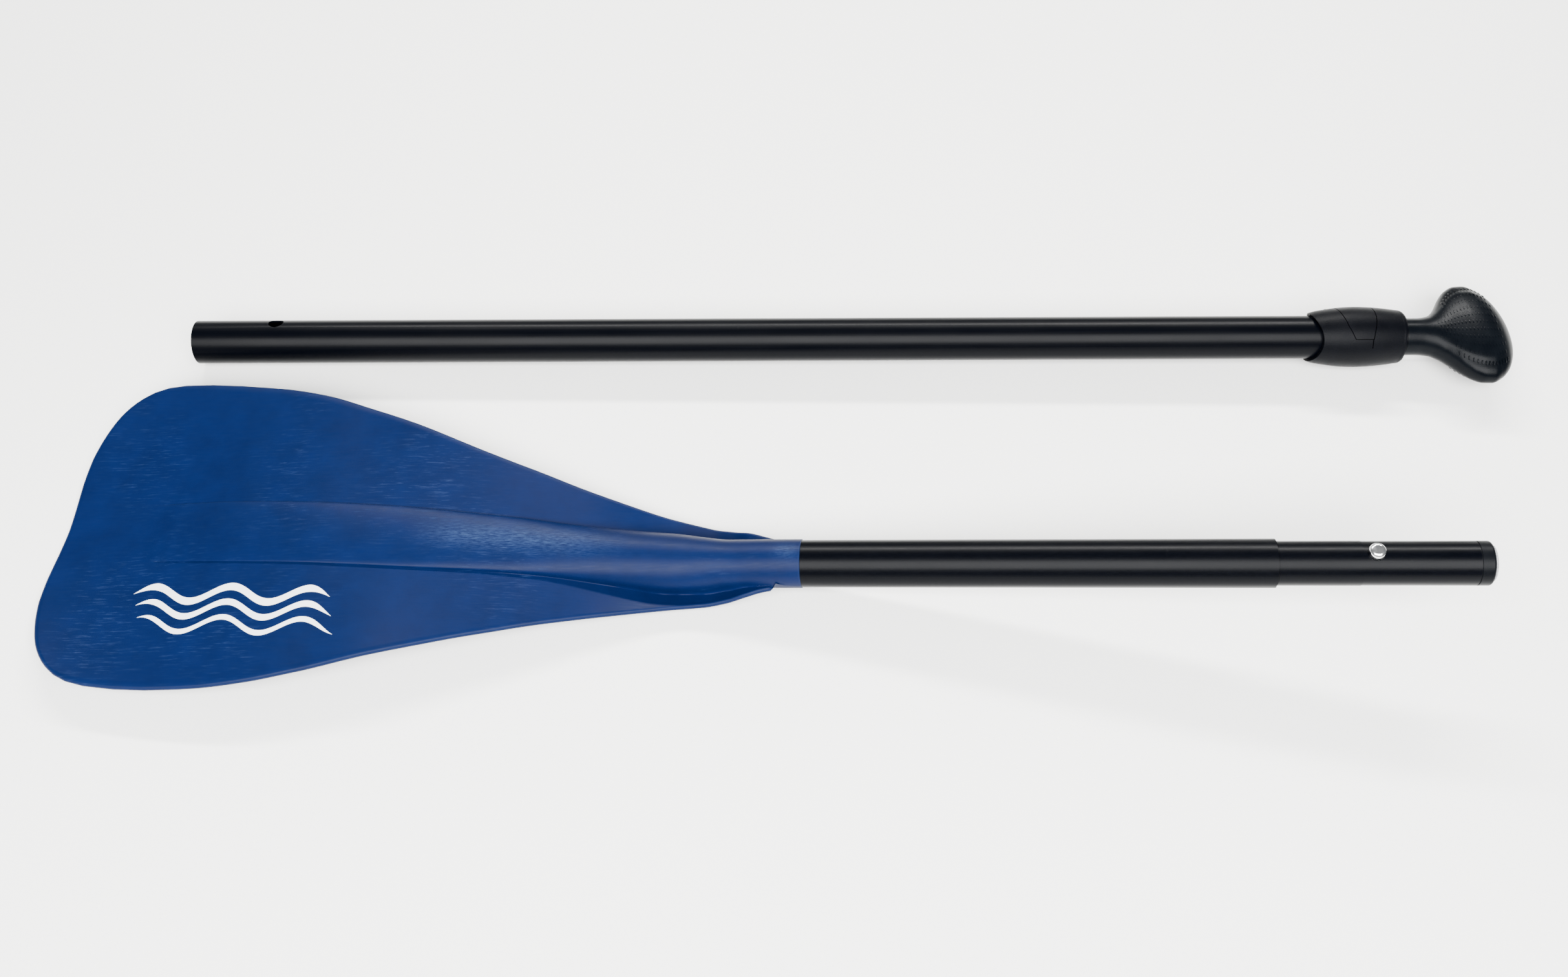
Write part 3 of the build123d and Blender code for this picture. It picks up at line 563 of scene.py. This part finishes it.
def build_mark():
    """Generic print on the blade: three rolling wave lines, drawn as thin ribbons."""
    verts, faces = [], []
    for k in range(3):
        n = 90
        u = np.linspace(0, 1, n)
        x = -409 + 126 * u + 4 * k
        y = -44 - 10.5 * k + 5.2 * np.sin(u * 2 * math.pi * 2.5 + 0.5 * k)
        start = np.sin(np.clip(u * 8, 0, 1) * math.pi / 2)
        end = np.sin(np.clip((1 - u) * 8, 0, 1) * math.pi / 2)
        half = (2.5 - 0.35 * k) * start * end
        half = np.maximum(half, 0.05)
        first = len(verts)
        for s in (1, -1):
            yy = y + s * half
            pts = blade_point(x, yy, top_height(x, yy) + 0.14)
            verts.extend(pts)
        for s in (1, -1):
            yy = y + s * half
            pts = blade_point(x, yy, top_height(x, yy) - 0.05)
            verts.extend(pts)
        for i in range(n - 1):
            a, b, c, d = first + i, first + n + i, first + 2 * n + i, first + 3 * n + i
            faces += [[a, a + 1, b + 1, b], [a, c, c + 1, a + 1], [b, b + 1, d + 1, d]]
    return mesh_object("blade_mark", verts, faces, PRINT, 40)


mark = build_mark()
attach(mark, "blade_section")

# ------------------------------------------------------------------ palm grip
# distance, half-width, half-thickness, lift, squareness
GRIP_ROWS = [(816.4, 12.45, 12.45, 0.0, 2.0), (826, 12.55, 12.35, 0.0, 2.0), (834, 13.9, 12.1, 0.1, 2.05),
             (840, 17.8, 12.2, 0.3, 2.1), (845, 23.2, 12.7, 0.5, 2.15), (850, 29.6, 13.4, 0.8, 2.2),
             (856, 35.6, 14.2, 1.1, 2.2), (862, 38.7, 14.7, 1.4, 2.2), (868, 39.1, 14.5, 1.5, 2.2),
             (874, 36.4, 13.5, 1.5, 2.15), (879.5, 31.4, 11.5, 1.5, 2.1), (884, 24.2, 8.6, 1.5, 2.05),
             (887.2, 15.8, 5.3, 1.5, 2.0), (888.9, 6.3, 2.1, 1.5, 2.0)]


def askew(x, y):
    """Distance along the handle of a grip point, its head set a few degrees askew in plan."""
    f = step(834, 856, x)
    return x - f * (1.0 + 0.0663 * y)


def grip_surface(x, ang):
    """Point of the grip's skin: distance along it and angle round it, from up towards +Y."""
    w, t = curve(GRIP_ROWS, 1, x), curve(GRIP_ROWS, 2, x)
    lift, e = curve(GRIP_ROWS, 3, x), curve(GRIP_ROWS, 4, x)
    s, c = np.sin(ang), np.cos(ang)
    y = w * np.sign(s) * np.abs(s) ** (2 / e)
    z = t * np.sign(c) * np.abs(c) ** (2 / e)
    # shallow waist in the flanks between the palm face and the finger face
    head = step(836, 856, x) * step(884, 872, x)
    waist = 1.0 - 0.035 * head * np.exp(-((np.abs(s) - 0.80) / 0.10) ** 2)
    return y * waist + 0.6 * lift, z * waist + lift


def build_grip():
    crown = 880 + 8.9 * np.sin(np.linspace(0, 1, 26)[1:] * math.pi / 2)
    xs = np.concatenate([[812.0], np.linspace(816.4, 880, 96), crown])
    xs = np.clip(xs, 0, 888.9)
    n = 128
    ang = np.linspace(0, 2 * math.pi, n + 1)[:-1]
    verts, faces = [], []
    for i, x in enumerate(xs):
        y, z = grip_surface(np.maximum(x, 816.4), ang)
        if i == 0:
            y, z = y * 0.9, z * 0.9
            x = 816.4
        verts.extend(handle_point(askew(x, y), y, z))
    for i in range(len(xs) - 1):
        for j in range(n):
            a, b = i * n + j, i * n + (j + 1) % n
            faces.append([a, b, b + n, a + n])
    tip = len(verts)
    verts.append(handle_point(askew(889.0, 0.9), 0.9, 1.5))
    last = (len(xs) - 1) * n
    for j in range(n):
        faces.append([last + j, last + (j + 1) % n, tip])
    o = mesh_object("grip_skin", verts, faces, GRIP)
    return o


def build_dashes():
    """Rows of small raised dashes that fan out over the palm face and the finger face."""
    verts, faces = [], []
    for face_sign in (1, -1):
        for row in range(11):
            lane = (row - 5) / 5.0
            for k in range(19):
                x = 838 + k * 2.35 + (row % 2) * 1.17
                if x > 879:
                    continue
                spread = curve(GRIP_ROWS, 1, x) * 0.80
                y0 = lane * spread
                if abs(lane) > 0.7 and x < 846:
                    continue
                along = 1.25
                pts = []
                for du, dv in ((-along, 0), (-along * 0.8, 0.34), (along * 0.8, 0.34), (along, 0),
                               (along * 0.8, -0.34), (-along * 0.8, -0.34)):
                    px = x + dv
                    py = y0 + du
                    w, t = curve(GRIP_ROWS, 1, px), curve(GRIP_ROWS, 2, px)
                    e, lift = curve(GRIP_ROWS, 4, px), curve(GRIP_ROWS, 3, px)
                    q = min(abs(py) / w, 0.98)
                    z = t * (1 - q ** e) ** (1 / e)
                    pts.append((px, py + 0.6 * lift, z, lift))
                first = len(verts)
                for height in (-0.25, 0.16):
                    for px, py, z, lift in pts:
                        verts.append(handle_point(askew(px, py), py,
                                                  face_sign * (z + height) + lift))
                mid = np.mean([p[:3] for p in pts], axis=0)
                verts.append(handle_point(askew(mid[0], mid[1]), mid[1],
                                          face_sign * (mid[2] + 0.34) + pts[0][3]))
                for j in range(6):
                    m = (j + 1) % 6
                    faces.append([first + j, first + m, first + 6 + m, first + 6 + j])
                    faces.append([first + 6 + j, first + 6 + m, first + 12])
    return mesh_object("grip_dashes", verts, faces, GRIP, 50)


grip = build_grip()
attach(grip, "telescopic_shaft")
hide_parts("palm_grip")
dashes = build_dashes()
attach(dashes, "telescopic_shaft")

# ------------------------------------------------------------------ stage, light and camera
fm, fnt, fp = new_material("floor_pale", Roughness=0.55)
fine = coords(fnt, (1, 1, 1))
speck = noise(fnt, fine, 420, 4, 0.6)
cloud = noise(fnt, fine, 2.4, 3, 0.5)
grain = ramp(fnt, speck, [(0.3, (0.87, 0.87, 0.85)), (0.7, (0.92, 0.92, 0.90))])
fcol = mix(fnt, cloud, grain, (0.90, 0.90, 0.88))
fnt.links.new(fcol, fp.inputs["Base Color"])
bump(fnt, fp, speck, 0.05, 0.0002)
bpy.ops.mesh.primitive_plane_add(size=12, location=(0, 0, -0.0002))
floor = bpy.context.object
floor.name = "floor"
floor.data.materials.append(fm)


def area(name, energy, size, location, target, colour=(1, 1, 1), size_y=None):
    light = bpy.data.lights.new(name, "AREA")
    light.energy, light.size, light.color = energy, size, colour
    if size_y:
        light.shape, light.size_y = "RECTANGLE", size_y
    o = bpy.data.objects.new(name, light)
    bpy.context.scene.collection.objects.link(o)
    o.location = location
    o.rotation_euler = (Vector(target) - Vector(location)).to_track_quat("-Z", "Y").to_euler()
    return o


area("key", 100, 2.2, (0.1, 1.45, 1.30), (0, 0, 0), (1.0, 0.99, 0.97), 0.12)
area("front", 230, 2.6, (0.0, -1.15, 1.5), (0, -0.5, 0), (1.0, 1.0, 1.0), 1.3)
world = bpy.data.worlds.new("studio")
bpy.context.scene.world = world
world.use_nodes = True
bg = world.node_tree.nodes["Background"]
bg.inputs["Color"].default_value = (0.94, 0.97, 1.0, 1)
bg.inputs["Strength"].default_value = 0.34

CAMERA_PLACE = (-0.01525, -0.47902, 0.792)          # metres
CAMERA_LEAN = 31.2                                  # degrees from straight down towards +Y
cam_data = bpy.data.cameras.new("camera")
cam_data.sensor_width = 36.0
cam_data.lens = 32.65
cam = bpy.data.objects.new("camera", cam_data)
bpy.context.scene.collection.objects.link(cam)
cam.location = CAMERA_PLACE
cam.rotation_euler = (math.radians(CAMERA_LEAN), 0, 0)
bpy.context.scene.camera = cam
